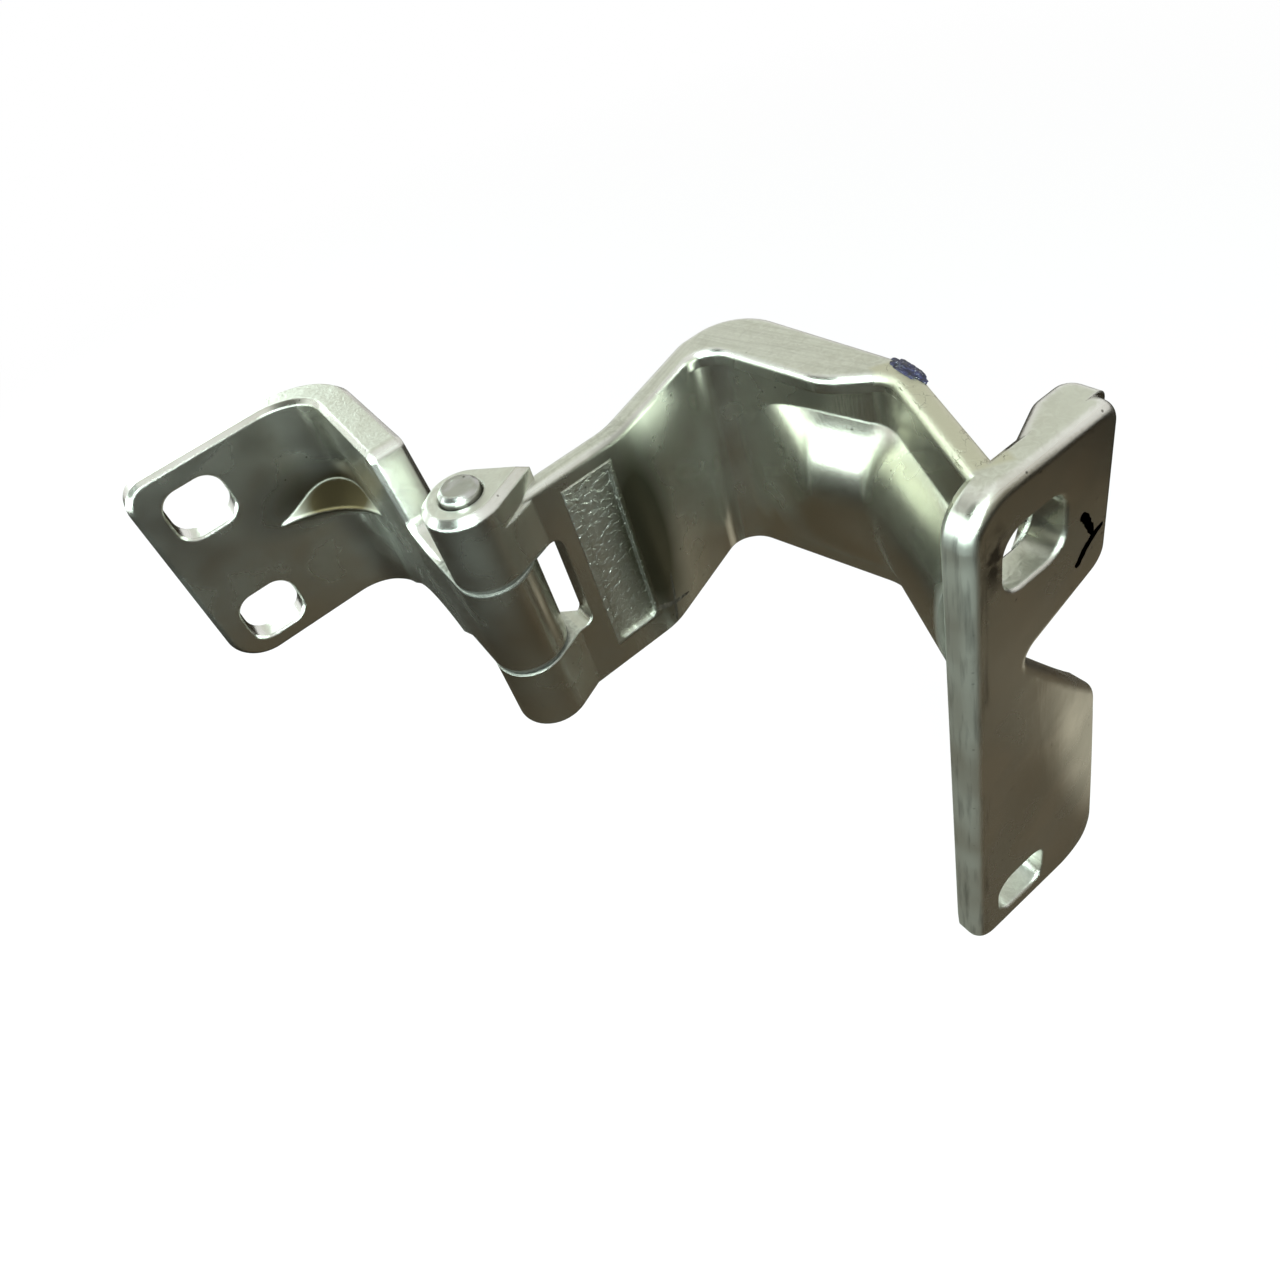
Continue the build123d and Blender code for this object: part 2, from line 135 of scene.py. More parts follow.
def colour_property(name, description, hex_colour):
    """A colour that a user can change, given as sRGB hex."""
    return FloatVectorProperty(
        name=name, description=description, default=linear(hex_colour), size=4, subtype="COLOR", min=0, max=1
    )


class HingeFinish(bpy.types.PropertyGroup):
    """Colours and grain of the hinge's finishes."""

    zinc_light: colour_property("Zinc, light", "Clean zinc plate", "#e2e2db")
    zinc_dark: colour_property("Zinc, dark", "Clouded zinc plate", "#c8c8bf")
    patina: colour_property("Patina", "Olive passivated patches", "#b6b2a2")
    speck: colour_property("Specks", "Dark pits in the plate", "#4a463a")
    edge: colour_property("Cut edges", "Torn steel at the cut edges", "#e2e3da")
    sheared: colour_property("Sheared edge", "Yellowed torn edge of the arm", "#cbc8b4")
    # The colour of the painted shade in the sheared edge's cracks.
    crack: colour_property("Cracks", "Fine cracks in the sheared edge", "#6b6248")
    rim_stain: colour_property("Rim stain", "Brown line along the rim's outer edge", "#7a6434")
    # Also the colour of the painted shade in the knuckle seams.
    smudge: colour_property("Smudge", "Black handling marks on the plate", "#2a2620")
    # The colour of the painted shade in the corners.
    corner_shade: colour_property("Grime", "Dirt held in the corners", "#5a5244")
    # Colours of the darker, duller patches laid over the dart and down the web's bend.
    brown: colour_property("Brown patina", "Brown passivated patch on the dart", "#453c2a")
    olive: colour_property("Olive patina", "Dark olive patch at the web's bend", "#5f5f50")
    streak: colour_property("Streaks", "Dull streaks along the top edges", "#a9a99c")
    pin_light: colour_property("Pin, light", "Clean pin steel", "#c6c7c3")
    pin_dark: colour_property("Pin, dark", "Clouded pin steel", "#a3a39c")
    cloud_size: FloatProperty(
        name="Clouding", description="Width of the plate's clouds", default=16 * MM, unit="LENGTH"
    )
    grain_size: FloatProperty(
        name="Grain", description="Width of the plate's grain", default=0.55 * MM, unit="LENGTH"
    )
    speck_size: FloatProperty(
        name="Speck spacing",
        description="Space between places for dark pits",
        default=2.4 * MM,
        unit="LENGTH",
    )


class HingeMarks(bpy.types.PropertyGroup):
    """The marker strokes and the paint dab."""

    ink: colour_property("Ink", "Dried marker ink", "#2e2822")
    ink_thin: colour_property("Thin ink", "Marker ink where it ran thin", "#544b3f")
    film: FloatProperty(
        name="Ink film", description="Thickness of the ink", default=0.04 * MM, unit="LENGTH"
    )
    paint: colour_property("Paint", "Dark blue inspection paint", "#2b2b4a")
    # The colour of the painted shade in the hollows of the paint's folds.
    paint_fold_shade: colour_property("Paint, dark", "Folds of the paint", "#16151f")
    paint_scuff: colour_property("Paint scuffs", "Pale scuffs on the paint", "#b9b8c0")
    dab_length: FloatProperty(
        name="Dab length", description="Length of the paint dab", default=9.2 * MM, unit="LENGTH"
    )


class HingeStage(bpy.types.PropertyGroup):
    """The camera's lens and the stage around the hinge."""

    lens: FloatProperty(name="Lens", description="Focal length on a 36 mm frame", default=25.0)
    floor_drop: FloatProperty(
        name="Floor drop", description="Space under the hinge", default=20 * MM, unit="LENGTH"
    )
    paper: colour_property("Floor", "Pale paper floor", "#f4f4f2")
    # Glow colours of the floor card, which shows only in the metal: painted reflections, brighter under the
    # hinge and beside the plate.
    glow_outer: colour_property("Felt, outer", "Outer part of the felt card", "#2c251a")
    glow_inner: colour_property("Felt, inner", "Felt around the worn middle", "#524938")
    glow_middle: colour_property("Felt, middle", "Worn pale middle of the felt card", "#585142")
    glow_side: colour_property("Felt, side", "Side of the felt card in front of the plate", "#5f5646")
    glow_patch: colour_property("Felt, patch", "Pale patch of the felt card beside the plate", "#b9b39f")


def pin_mm(tree):
    """The surface's own place in millimetres from the pin."""
    where = add(tree, "ShaderNodeTexCoord")
    scaled = {"Vector": where.outputs["Object"], "Location": -PIN / MM, "Scale": (1 / MM, 1 / MM, 1 / MM)}
    return add(tree, "ShaderNodeMapping", scaled).outputs[0]


def facing_up(tree, start, full):
    """A mask that grows from start to full as the surface turns to face up."""
    where = add(tree, "ShaderNodeTexCoord")
    normal = add(tree, "ShaderNodeSeparateXYZ", {0: where.outputs["Normal"]})
    return add(tree, "ShaderNodeMapRange", {0: normal.outputs["Z"], 1: start, 2: full}).outputs[0]


def inside_box(tree, at, low, high, soft):
    """A mask that is full inside a box and fades over a soft margin around it."""
    middle = [(a + b) / 2 for a, b in zip(low, high)]
    half = [(b - a) / 2 for a, b in zip(low, high)]
    away = add(tree, "ShaderNodeVectorMath", {0: at, 1: middle}, operation="SUBTRACT")
    away = add(tree, "ShaderNodeVectorMath", {0: away.outputs[0]}, operation="ABSOLUTE")
    away = add(tree, "ShaderNodeVectorMath", {0: away.outputs[0], 1: half}, operation="SUBTRACT")
    sides = add(tree, "ShaderNodeSeparateXYZ", {0: away.outputs[0]})
    most = add(tree, "ShaderNodeMath", {0: sides.outputs["X"], 1: sides.outputs["Y"]}, operation="MAXIMUM")
    most = add(tree, "ShaderNodeMath", {0: most.outputs[0], 1: sides.outputs["Z"]}, operation="MAXIMUM")
    fade = {0: most.outputs[0], 1: 0.0, 2: soft, 3: 1.0, 4: 0.0}
    return add(tree, "ShaderNodeMapRange", fade).outputs[0]


def near_spot(tree, at, middle, reach, full):
    """A mask that is full near a spot and fades to nothing at its reach along each axis."""
    away = add(tree, "ShaderNodeVectorMath", {0: at, 1: middle}, operation="SUBTRACT")
    away = add(tree, "ShaderNodeVectorMath", {0: away.outputs[0], 1: reach}, operation="DIVIDE")
    away = add(tree, "ShaderNodeVectorMath", {0: away.outputs[0]}, operation="LENGTH")
    fade = {0: away.outputs["Value"], 1: full, 2: 1.0, 3: 1.0, 4: 0.0}
    return add(tree, "ShaderNodeMapRange", fade).outputs[0]


def along_line(tree, at, start, end, stretch=(1.0, 1.0, 1.0)):
    """The place measured from a plan line: X runs along it from its start, Y to its left."""
    angle = math.atan2(end[1] - start[1], end[0] - start[0])
    turned = {"Vector": at, "Location": (*start, 0.0), "Rotation": (0.0, 0.0, angle), "Scale": stretch}
    return add(tree, "ShaderNodeMapping", turned, vector_type="TEXTURE").outputs[0]


# Below, START and FULL say where a mark begins and is full, in its noise where no other measure is given,
# and SHARE says how strongly it shows.

# Clouds and patina of the plate, with the patina's width counted in clouds.
CLOUD_START = 0.35
CLOUD_FULL = 0.65
CLOUD_ROUGH_DARK = 0.29
CLOUD_ROUGH_LIGHT = 0.21
PATINA_CLOUDS = 3
PATINA_START = 0.48
PATINA_FULL = 0.68
PATINA_SHARE = 0.6

# Pits of the plate: inner and outer radius in parts of their spacing, and the part of places left clean.
PIT_INNER = 0.05
PIT_OUTER = 0.14
PIT_SHARE = 0.8
PIT_CLEAN_PART = 0.82

# Relief of the plate: waves of the pressed sheet, draw marks up and down the walls, and grain.
WAVE_WIDTH = 7.0
WAVE_DEPTH = 0.06
DRAW_MARK_WIDTH = 0.6
DRAW_MARK_LENGTH = 14.0
DRAW_MARK_DEPTH = 0.012
GRAIN_DEPTH = 0.014


def zinc_coat(tree, at, finish, light, dark):
    """The plain plate: clouded colour with patina and pits, and its relief in millimetres."""
    clouds = add(tree, "ShaderNodeTexNoise", {"Vector": at, "Scale": MM / finish.cloud_size, "Detail": 4.0})
    cloud = clouds.outputs["Fac"]
    share = add(tree, "ShaderNodeMapRange", {0: cloud, 1: CLOUD_START, 2: CLOUD_FULL})
    colour = add(tree, "ShaderNodeMix", {0: share.outputs[0], 6: dark, 7: light}, data_type="RGBA")

    patina_width = PATINA_CLOUDS * finish.cloud_size
    patina = add(tree, "ShaderNodeTexNoise", {"Vector": at, "Scale": MM / patina_width, "Detail": 2.0})
    stained = {0: patina.outputs["Fac"], 1: PATINA_START, 2: PATINA_FULL, 4: PATINA_SHARE}
    stain = add(tree, "ShaderNodeMapRange", stained)
    mixed = {0: stain.outputs[0], 6: colour.outputs[2], 7: finish.patina}
    colour = add(tree, "ShaderNodeMix", mixed, data_type="RGBA")

    pits = add(tree, "ShaderNodeTexVoronoi", {"Vector": at, "Scale": MM / finish.speck_size})
    round_pit = {0: pits.outputs["Distance"], 1: PIT_INNER, 2: PIT_OUTER, 3: PIT_SHARE, 4: 0.0}
    dot = add(tree, "ShaderNodeMapRange", round_pit)
    chance = add(tree, "ShaderNodeSeparateColor", {0: pits.outputs["Color"]})
    pitted = {0: chance.outputs["Red"], 1: PIT_CLEAN_PART}
    kept = add(tree, "ShaderNodeMath", pitted, operation="GREATER_THAN")
    pit = add(tree, "ShaderNodeMath", {0: dot.outputs[0], 1: kept.outputs[0]}, operation="MULTIPLY")
    mixed = {0: pit.outputs[0], 6: colour.outputs[2], 7: finish.speck}
    colour = add(tree, "ShaderNodeMix", mixed, data_type="RGBA")
    gloss = {0: cloud, 1: CLOUD_START, 2: CLOUD_FULL, 3: CLOUD_ROUGH_DARK, 4: CLOUD_ROUGH_LIGHT}
    rough = add(tree, "ShaderNodeMapRange", gloss)

    grain = add(tree, "ShaderNodeTexNoise", {"Vector": at, "Scale": MM / finish.grain_size, "Detail": 3.0})
    waves = add(tree, "ShaderNodeTexNoise", {"Vector": at, "Scale": 1 / WAVE_WIDTH, "Detail": 1.0})
    upright = (1 / DRAW_MARK_WIDTH, 1 / DRAW_MARK_WIDTH, 1 / DRAW_MARK_LENGTH)
    drawn = add(tree, "ShaderNodeMapping", {"Vector": at, "Scale": upright})
    marks = add(tree, "ShaderNodeTexNoise", {"Vector": drawn.outputs[0], "Scale": 1.0, "Detail": 2.0})
    height = add(tree, "ShaderNodeMath", {0: marks.outputs["Fac"], 1: DRAW_MARK_DEPTH}, operation="MULTIPLY")
    for relief, depth in ((waves, WAVE_DEPTH), (grain, GRAIN_DEPTH)):
        raised = {0: relief.outputs["Fac"], 1: depth, 2: height.outputs[0]}
        height = add(tree, "ShaderNodeMath", raised, operation="MULTIPLY_ADD")
    return {"colour": colour.outputs[2], "rough": rough.outputs[0], "height": height.outputs[0]}


# Painted shade in a seam, which is also made duller.
SEAM_HALF_WIDTH = 0.3
SEAM_FADE = 0.7
SEAM_ROUGH = 0.6


def knuckle_seam_shade(tree, at, finish, coat):
    """Painted shade darkening the seams between the knuckles, which are also made duller."""
    colour = coat["colour"]
    rough = coat["rough"]
    for height in SEAM_HEIGHTS:
        low = (-SEAM_REACH, -SEAM_REACH, height - SEAM_HALF_WIDTH)
        high = (SEAM_REACH, SEAM_REACH, height + SEAM_HALF_WIDTH)
        here = inside_box(tree, at, low, high, SEAM_FADE)
        # Painted shade: the smudge colour darkens the gap between the knuckles.
        mixed = {0: here, 6: colour, 7: finish.smudge}
        colour = add(tree, "ShaderNodeMix", mixed, data_type="RGBA").outputs[2]
        rough = add(tree, "ShaderNodeMix", {0: here, 2: rough, 3: SEAM_ROUGH}).outputs[0]
    return {**coat, "colour": colour, "rough": rough}


# A darker patch is full over this part of its reach.
PATCH_FULL_PART = 0.45
PATCH_ROUGH = 0.32


def dull_dark_patch(tree, at, coat, middle, reach, shade):
    """A dull, darker patch that fades out around its middle."""
    here = near_spot(tree, at, middle, reach, PATCH_FULL_PART)
    colour = add(tree, "ShaderNodeMix", {0: here, 6: coat["colour"], 7: shade}, data_type="RGBA")
    rough = add(tree, "ShaderNodeMix", {0: here, 2: coat["rough"], 3: PATCH_ROUGH})
    return {**coat, "colour": colour.outputs[2], "rough": rough.outputs[0]}


def dart_dark_patch(tree, at, finish, coat):
    """A brown patch over the dart."""
    return dull_dark_patch(tree, at, coat, DART_MIDDLE, DART_REACH, finish.brown)


def web_dark_patch(tree, at, finish, coat):
    """A dark olive patch down the web's bend."""
    return dull_dark_patch(tree, at, coat, WEB_PATCH_MIDDLE, WEB_PATCH_REACH, finish.olive)


# Cut edges: how far up they face, the torn metal on them, and the roughness that it adds.
CUT_FACING_START = 0.7
CUT_FACING_FULL = 0.95
CUT_ADDED_ROUGH = 0.1
TORN_WIDTH = 1.6
TORN_DEPTH = 0.1
TORN_START = 0.35
TORN_FULL = 0.65
TORN_LEAST_SHARE = 0.35
TORN_SHARE = 0.9


def cut_edges(tree, at, finish, coat):
    """Paler torn metal on the cut edges that face up."""
    top = facing_up(tree, CUT_FACING_START, CUT_FACING_FULL)
    fibres = {"Vector": at, "Scale": 1 / TORN_WIDTH, "Detail": 4.0, "Distortion": 1.2}
    torn = add(tree, "ShaderNodeTexNoise", fibres)
    paler = {0: torn.outputs["Fac"], 1: TORN_START, 2: TORN_FULL, 3: TORN_LEAST_SHARE, 4: TORN_SHARE}
    share = add(tree, "ShaderNodeMapRange", paler)
    share = add(tree, "ShaderNodeMath", {0: share.outputs[0], 1: top}, operation="MULTIPLY")
    mixed = {0: share.outputs[0], 6: coat["colour"], 7: finish.edge}
    colour = add(tree, "ShaderNodeMix", mixed, data_type="RGBA")
    duller = {0: top, 1: CUT_ADDED_ROUGH, 2: coat["rough"]}
    rough = add(tree, "ShaderNodeMath", duller, operation="MULTIPLY_ADD")
    rise = add(tree, "ShaderNodeMath", {0: torn.outputs["Fac"], 1: top}, operation="MULTIPLY")
    raised = {0: rise.outputs[0], 1: TORN_DEPTH, 2: coat["height"]}
    height = add(tree, "ShaderNodeMath", raised, operation="MULTIPLY_ADD")
    return {"colour": colour.outputs[2], "rough": rough.outputs[0], "height": height.outputs[0]}


# Streaks along the top edges: how far up those face, each streak's size, the streaks' reach above and
# below the arm's top, and their fade in streak widths.
STREAK_FACING_START = 0.5
STREAK_FACING_FULL = 0.9
STREAK_LENGTH = 16.0
STREAK_WIDTH = 0.7
STREAK_BAND = 4.0
STREAK_FADE = 0.2
STREAK_START = 0.42
STREAK_FULL = 0.68
PILLAR_STREAK_SHARE = 1.0
RIM_STREAK_SHARE = 0.25


def top_streaks(tree, at, finish, coat, corners, sides, strength):
    """Long dull streaks along a leaf's top edge, beside the plan line through these corners."""
    top = facing_up(tree, STREAK_FACING_START, STREAK_FACING_FULL)
    colour = coat["colour"]
    right, left = sides
    for start, end in zip(corners, corners[1:]):
        local = along_line(tree, at, start, end, (STREAK_LENGTH, STREAK_WIDTH, STREAK_WIDTH))
        reach = math.dist(start, end) / STREAK_LENGTH
        low = (0.0, -right / STREAK_WIDTH, (ARM_TOP - STREAK_BAND) / STREAK_WIDTH)
        high = (reach, left / STREAK_WIDTH, (ARM_TOP + STREAK_BAND) / STREAK_WIDTH)
        here = inside_box(tree, local, low, high, STREAK_FADE)
        streak = add(tree, "ShaderNodeTexNoise", {"Vector": local, "Scale": 1.0, "Detail": 3.0})
        dulled = {0: streak.outputs["Fac"], 1: STREAK_START, 2: STREAK_FULL, 4: strength}
        share = add(tree, "ShaderNodeMapRange", dulled)
        share = add(tree, "ShaderNodeMath", {0: share.outputs[0], 1: here}, operation="MULTIPLY")
        share = add(tree, "ShaderNodeMath", {0: share.outputs[0], 1: top}, operation="MULTIPLY")
        mixed = {0: share.outputs[0], 6: colour, 7: finish.streak}
        colour = add(tree, "ShaderNodeMix", mixed, data_type="RGBA").outputs[2]
    return {**coat, "colour": colour}


def pillar_streaks(tree, at, finish, coat):
    """Streaks along the pillar leaf's top edge."""
    return top_streaks(tree, at, finish, coat, PILLAR_EDGE, PILLAR_SIDES, PILLAR_STREAK_SHARE)


# The brown line at the rim's outer edge: a box along that edge, to its left and up, and its patches.
RIM_LINE_LOW = (-4.0, -0.6, ARM_TOP - 2.0)
RIM_LINE_HIGH = (math.dist(*RIM_OUTER_EDGE) - 4.0, 2.0, ARM_TOP + 1.0)
RIM_LINE_FADE = 0.5
RIM_LINE_PATCH_WIDTH = 3.0
RIM_LINE_START = 0.35
RIM_LINE_FULL = 0.65
RIM_LINE_LEAST_SHARE = 0.45
RIM_LINE_SHARE = 0.75


def rim_streaks(tree, at, finish, coat):
    """Streaks along the arm's rolled top, and a brown line at the rim's outer edge."""
    coat = top_streaks(tree, at, finish, coat, ARM_CORNERS[:-1], RIM_SIDES, RIM_STREAK_SHARE)
    local = along_line(tree, at, *RIM_OUTER_EDGE)
    line = inside_box(tree, local, RIM_LINE_LOW, RIM_LINE_HIGH, RIM_LINE_FADE)
    patches = {"Vector": at, "Scale": 1 / RIM_LINE_PATCH_WIDTH, "Detail": 3.0}
    patchy = add(tree, "ShaderNodeTexNoise", patches)
    stained = {
        0: patchy.outputs["Fac"],
        1: RIM_LINE_START,
        2: RIM_LINE_FULL,
        3: RIM_LINE_LEAST_SHARE,
        4: RIM_LINE_SHARE,
    }
    share = add(tree, "ShaderNodeMapRange", stained)
    share = add(tree, "ShaderNodeMath", {0: share.outputs[0], 1: line}, operation="MULTIPLY")
    mixed = {0: share.outputs[0], 6: coat["colour"], 7: finish.rim_stain}
    colour = add(tree, "ShaderNodeMix", mixed, data_type="RGBA")
    return {**coat, "colour": colour.outputs[2]}


# The end wall's sheared top edge: a box along that wall, to its left and up, with its bumps.
SHEARED_LINE = ARM_CORNERS[-2:]
SHEARED_LOW = (-3.0, -1.5, ARM_TOP - 1.3)
SHEARED_HIGH = (math.dist(*SHEARED_LINE) - 3.0, ARM_THICKNESS + 2.0, ARM_TOP + 1.0)
SHEARED_FADE = 0.9
SHEARED_ROUGH = 0.5
SHEARED_BUMP_WIDTH = 0.8
SHEARED_BUMP_DEPTH = 0.08

# Cracks in the sheared edge: their spacing along, across and up, half widths in parts of that, and patches.
CRACK_SPACING = (3.2, 1.7, 1.7)
CRACK_INNER = 0.01
CRACK_OUTER = 0.04
CRACK_DEPTH = 0.12
CRACK_PATCH_WIDTH = 4.0
CRACK_START = 0.5
CRACK_FULL = 0.62
CRACK_SHARE = 0.7


def sheared_edge(tree, at, finish, coat):
    """The end wall's torn top edge: pale, yellowed and finely cracked, with painted shade in the cracks."""
    local = along_line(tree, at, *SHEARED_LINE)
    here = inside_box(tree, local, SHEARED_LOW, SHEARED_HIGH, SHEARED_FADE)
    uneven = add(tree, "ShaderNodeTexNoise", {"Vector": at, "Scale": 1 / SHEARED_BUMP_WIDTH, "Detail": 3.0})
    bent = add(tree, "ShaderNodeVectorMath", {0: local, 1: uneven.outputs["Color"]}, operation="ADD")
    closer = [1 / spacing for spacing in CRACK_SPACING]
    crossed = add(tree, "ShaderNodeMapping", {"Vector": bent.outputs[0], "Scale": closer})
    net = {"Vector": crossed.outputs[0], "Scale": 1.0}
    cells = add(tree, "ShaderNodeTexVoronoi", net, feature="DISTANCE_TO_EDGE")
    thin = {0: cells.outputs["Distance"], 1: CRACK_INNER, 2: CRACK_OUTER, 3: 1.0, 4: 0.0}
    crack = add(tree, "ShaderNodeMapRange", thin)
    patchy = add(tree, "ShaderNodeTexNoise", {"Vector": at, "Scale": 1 / CRACK_PATCH_WIDTH, "Detail": 2.0})
    cracked = {0: patchy.outputs["Fac"], 1: CRACK_START, 2: CRACK_FULL, 3: 0.0, 4: CRACK_SHARE}
    kept = add(tree, "ShaderNodeMapRange", cracked)
    crack = add(tree, "ShaderNodeMath", {0: crack.outputs[0], 1: kept.outputs[0]}, operation="MULTIPLY")
    crack = add(tree, "ShaderNodeMath", {0: crack.outputs[0], 1: here}, operation="MULTIPLY").outputs[0]
    colour = add(tree, "ShaderNodeMix", {0: here, 6: coat["colour"], 7: finish.sheared}, data_type="RGBA")
    # Painted shade: the cracks, sunk in the relief below, are darkened in colour too.
    colour = add(tree, "ShaderNodeMix", {0: crack, 6: colour.outputs[2], 7: finish.crack}, data_type="RGBA")
    rough = add(tree, "ShaderNodeMix", {0: here, 2: coat["rough"], 3: SHEARED_ROUGH})
    bumpy = add(tree, "ShaderNodeMath", {0: uneven.outputs["Fac"], 1: here}, operation="MULTIPLY")
    raised = {0: bumpy.outputs[0], 1: SHEARED_BUMP_DEPTH, 2: coat["height"]}
    bumpy = add(tree, "ShaderNodeMath", raised, operation="MULTIPLY_ADD")
    sunk = {0: crack, 1: -CRACK_DEPTH, 2: bumpy.outputs[0]}
    height = add(tree, "ShaderNodeMath", sunk, operation="MULTIPLY_ADD")
    return {"colour": colour.outputs[2], "rough": rough.outputs[0], "height": height.outputs[0]}


# Lumps on the floor of the sunk panel, and the roughness that they add.
STIPPLE_FADE = 0.5
STIPPLE_WIDTH = 1.3
STIPPLE_DEPTH = 0.4
STIPPLE_ADDED_ROUGH = 0.08


def recess_stipple(tree, at, finish, coat):
    """The sunk panel's rough pressed floor."""
    here = inside_box(tree, at, RECESS_LOW, RECESS_HIGH, STIPPLE_FADE)
    pressed = {"Vector": at, "Scale": 1 / STIPPLE_WIDTH, "Detail": 3.0, "Distortion": 0.6}
    lumps = add(tree, "ShaderNodeTexNoise", pressed)
    lump = add(tree, "ShaderNodeMath", {0: lumps.outputs["Fac"], 1: here}, operation="MULTIPLY")
    raised = {0: lump.outputs[0], 1: STIPPLE_DEPTH, 2: coat["height"]}
    height = add(tree, "ShaderNodeMath", raised, operation="MULTIPLY_ADD")
    duller = {0: here, 1: STIPPLE_ADDED_ROUGH, 2: coat["rough"]}
    rough = add(tree, "ShaderNodeMath", duller, operation="MULTIPLY_ADD")
    return {**coat, "rough": rough.outputs[0], "height": height.outputs[0]}


# The plate's cut edge, with the roughness that it adds.
PLATE_EDGE_FADE = 1.2
PLATE_EDGE_ADDED_ROUGH = 0.14
PLATE_EDGE_SHARE = 0.55

# The smudge, which is full over a part of its reach, and its ragged outline.
SMUDGE_FULL_PART = 0.3
SMUDGE_RAG_WIDTH = 4.0
SMUDGE_START = 0.42
SMUDGE_FULL = 0.56
SMUDGE_SHARE = 0.85

# The long nicks beside the cut edge.
NICKS_FADE = 0.8
NICK_WIDTH = 1.3
NICK_LENGTH = 16.0
NICK_START = 0.5
NICK_FULL = 0.72
NICK_SHARE = 0.45


def plate_marks(tree, at, finish, coat):
    """The plate's rougher cut edge, its black smudge and the nicks down its left edge."""
    cut = inside_box(tree, at, PLATE_EDGE_LOW, PLATE_EDGE_HIGH, PLATE_EDGE_FADE)
    duller = {0: cut, 1: PLATE_EDGE_ADDED_ROUGH, 2: coat["rough"]}
    rough = add(tree, "ShaderNodeMath", duller, operation="MULTIPLY_ADD")
    pale = add(tree, "ShaderNodeMath", {0: cut, 1: PLATE_EDGE_SHARE}, operation="MULTIPLY")
    mixed = {0: pale.outputs[0], 6: coat["colour"], 7: finish.edge}
    colour = add(tree, "ShaderNodeMix", mixed, data_type="RGBA")

    near = near_spot(tree, at, SMUDGE_MIDDLE, SMUDGE_REACH, SMUDGE_FULL_PART)
    ragged = add(tree, "ShaderNodeTexNoise", {"Vector": at, "Scale": 1 / SMUDGE_RAG_WIDTH, "Detail": 4.0})
    rubbed = {0: ragged.outputs["Fac"], 1: SMUDGE_START, 2: SMUDGE_FULL, 4: SMUDGE_SHARE}
    wiped = add(tree, "ShaderNodeMapRange", rubbed)
    smudge = add(tree, "ShaderNodeMath", {0: near, 1: wiped.outputs[0]}, operation="MULTIPLY")

    beside = inside_box(tree, at, NICKS_LOW, NICKS_HIGH, NICKS_FADE)
    upright = (1 / NICK_WIDTH, 1 / NICK_WIDTH, 1 / NICK_LENGTH)
    tall = add(tree, "ShaderNodeMapping", {"Vector": at, "Scale": upright})
    chips = add(tree, "ShaderNodeTexNoise", {"Vector": tall.outputs[0], "Scale": 1.0, "Detail": 4.0})
    chipped = {0: chips.outputs["Fac"], 1: NICK_START, 2: NICK_FULL, 4: NICK_SHARE}
    chip = add(tree, "ShaderNodeMapRange", chipped)
    nick = add(tree, "ShaderNodeMath", {0: chip.outputs[0], 1: beside}, operation="MULTIPLY")
    dark = add(tree, "ShaderNodeMath", {0: smudge.outputs[0], 1: nick.outputs[0]}, operation="MAXIMUM")
    mixed = {0: dark.outputs[0], 6: colour.outputs[2], 7: finish.smudge}
    colour = add(tree, "ShaderNodeMix", mixed, data_type="RGBA")
    return {**coat, "colour": colour.outputs[2], "rough": rough.outputs[0]}


# The pin's end: how far up it faces, its turning rings and its hammer flats. The rings' scale puts them
# about 0.4 mm apart.
PIN_FACING_START = 0.6
PIN_FACING_FULL = 0.95
RING_SCALE = 0.8
RING_DEPTH = 0.008
FLAT_WIDTH = 3.4
FLAT_DEPTH = 0.8


def turned_top(tree, at, finish, coat):
    """The pin's end: fine turning rings and shallow hammer flats."""
    top = facing_up(tree, PIN_FACING_START, PIN_FACING_FULL)
    turned = {"Vector": at, "Scale": RING_SCALE}
    rings = add(tree, "ShaderNodeTexWave", turned, wave_type="RINGS", rings_direction="Z")
    flats = add(tree, "ShaderNodeTexVoronoi", {"Vector": at, "Scale": 1 / FLAT_WIDTH}, feature="SMOOTH_F1")
    ring = add(tree, "ShaderNodeMath", {0: rings.outputs["Fac"], 1: RING_DEPTH}, operation="MULTIPLY")
    hammered = {0: flats.outputs["Distance"], 1: FLAT_DEPTH, 2: ring.outputs[0]}
    shape = add(tree, "ShaderNodeMath", hammered, operation="MULTIPLY_ADD")
    raised = {0: shape.outputs[0], 1: top, 2: coat["height"]}
    height = add(tree, "ShaderNodeMath", raised, operation="MULTIPLY_ADD")
    return {**coat, "height": height.outputs[0]}


# Eased edges: their radius, and the cosine of the turn at which they look rubbed.
EASED_RADIUS = 0.7
RUBBED_START = 0.985
RUBBED_FULL = 0.86
RUBBED_SHARE = 0.5

# Painted shade in the corners, darker where ambient occlusion finds them shut in: how far a corner reaches,
# and how shut in it has to be.
CORNER_SHADE_REACH = 6.0
CORNER_SHADE_START = 0.7
CORNER_SHADE_FULL = 0.25
CORNER_SHADE_SHARE = 0.45


